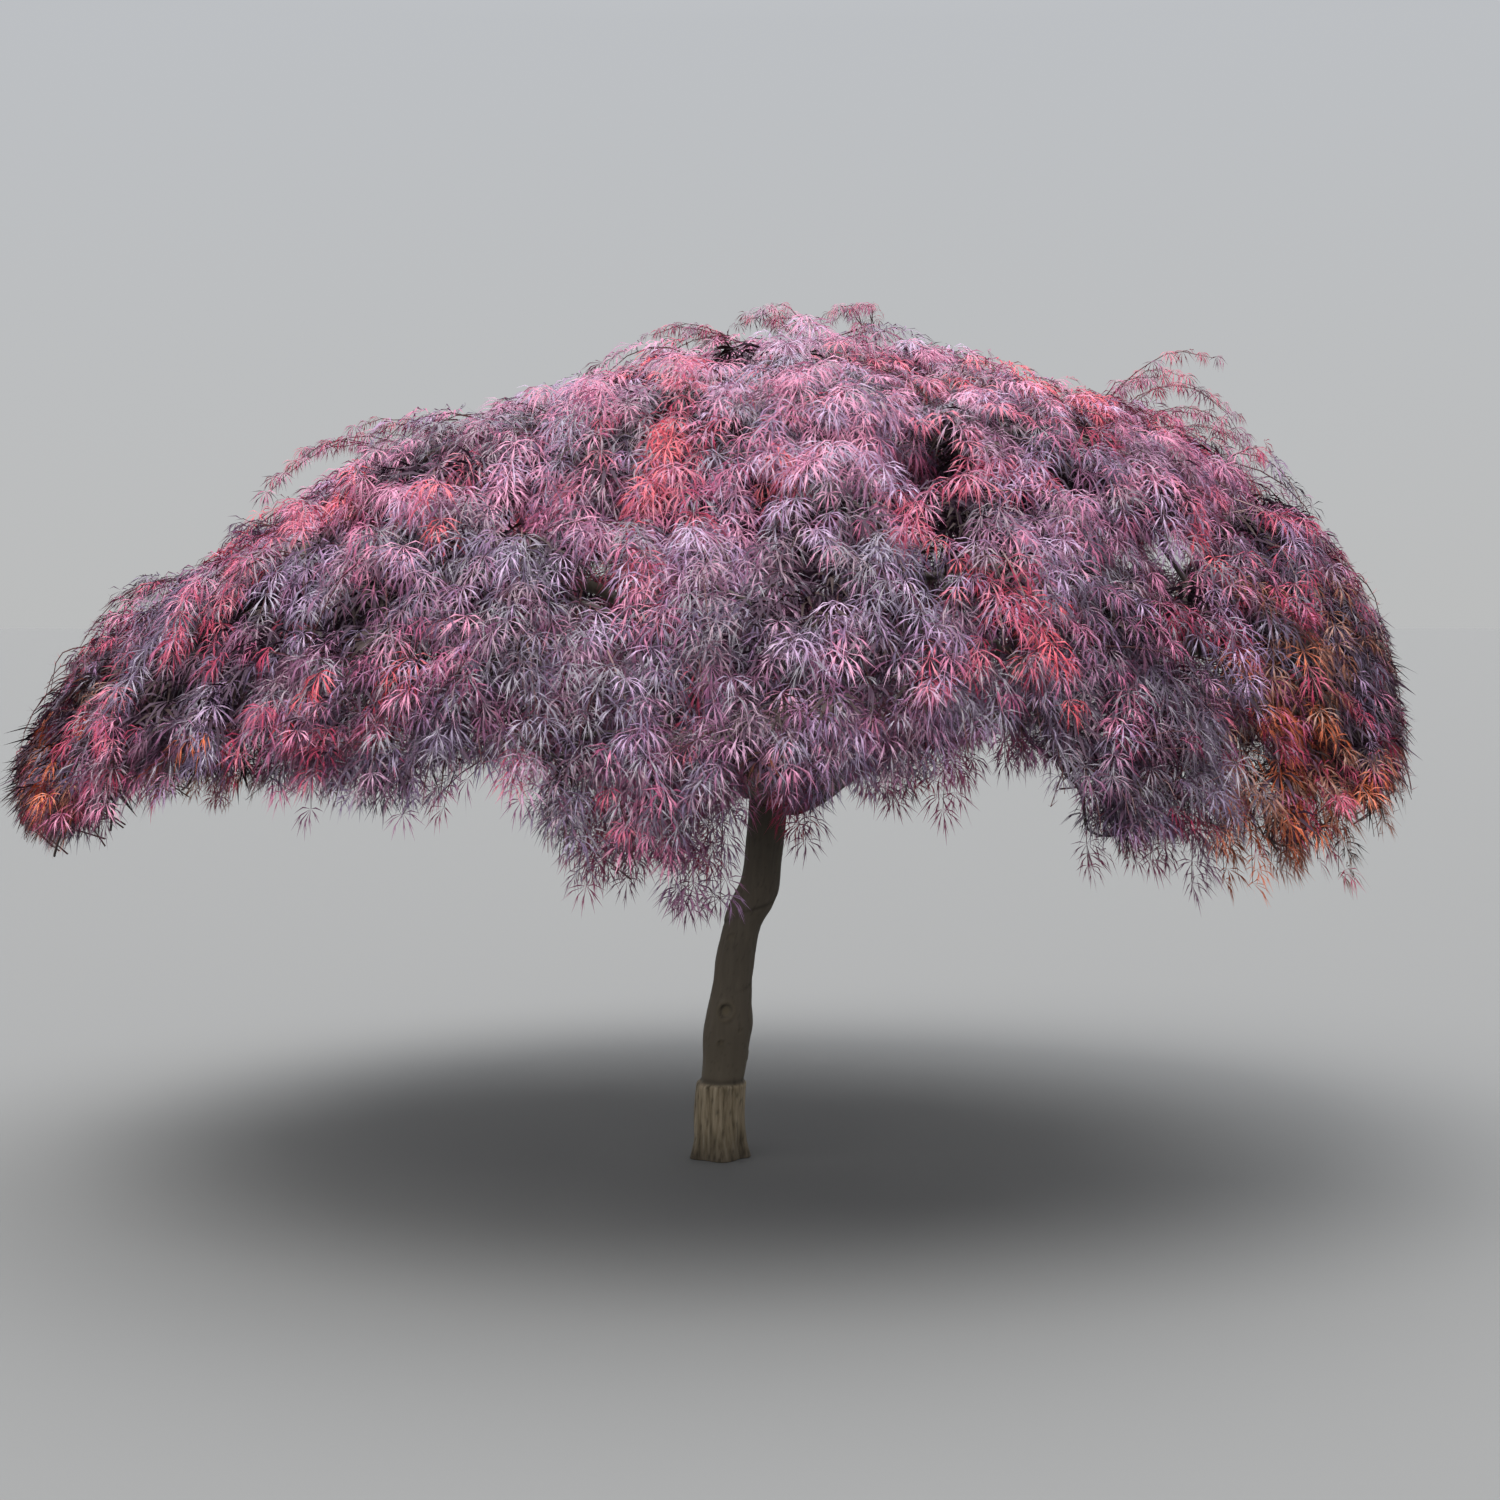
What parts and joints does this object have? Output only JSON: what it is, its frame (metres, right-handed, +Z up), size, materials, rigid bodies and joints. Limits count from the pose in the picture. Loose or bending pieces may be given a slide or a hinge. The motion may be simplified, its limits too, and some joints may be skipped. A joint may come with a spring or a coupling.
{
  "type": "garnet japanese maple",
  "caption": "Weeping laceleaf japanese maple: a crooked grafted trunk under a wide, low umbrella crown of fine dark red hanging foliage, rooted in level ground.",
  "frame": {"origin": "middle of the flat cut under the trunk, at ground level", "axes": "+Z up along the trunk, +X to the right and along the crown's long side, -Y towards the front of the crown"},
  "size_m": [4.0786, 3.3207, 2.5259],
  "materials": {
    "trunk_bark": "rough grey-brown bark with fine upright streaks",
    "bough_bark": "smooth dark bark",
    "leaf_crimson": "young red leaves, satin",
    "leaf_rose": "rose and mauve leaves, satin",
    "leaf_plum": "purple leaves, satin",
    "leaf_slate": "dusky grey-purple leaves, satin",
    "leaf_bronze": "bronze red leaves, satin"
  },
  "bodies": {
    "root": {"trunk": "trunk_bark", "bough_leader": "bough_bark", "bough_left": "bough_bark", "bough_right": "bough_bark", "bough_front": "bough_bark", "bough_back": "bough_bark", "bough_front_left": "bough_bark", "bough_front_right": "bough_bark", "bough_back_right": "bough_bark", "bough_back_left": "bough_bark", "foliage_top": "leaf_rose", "foliage_upper_right": "leaf_rose", "foliage_upper_back_right": "leaf_rose", "foliage_upper_back_left": "leaf_rose", "foliage_upper_left": "leaf_crimson", "foliage_upper_front_left": "leaf_rose", "foliage_upper_front": "leaf_rose", "foliage_upper_front_right": "leaf_slate", "foliage_skirt_right": "leaf_bronze", "foliage_skirt_right_back": "leaf_bronze", "foliage_skirt_back_right": "leaf_plum", "foliage_skirt_back": "leaf_plum", "foliage_skirt_back_left": "leaf_plum", "foliage_skirt_left_back": "leaf_plum", "foliage_skirt_left": "leaf_crimson", "foliage_skirt_left_front": "leaf_plum", "foliage_skirt_front_left": "leaf_plum", "foliage_skirt_front_low": "leaf_slate", "foliage_skirt_front": "leaf_plum", "foliage_skirt_front_right": "leaf_slate", "spray_right_shoulder": "leaf_crimson", "spray_left_shoulder": "leaf_crimson", "spray_top_left": "leaf_crimson", "spray_top_middle": "leaf_crimson", "spray_top_right": "leaf_crimson"}
  },
  "joints": []
}
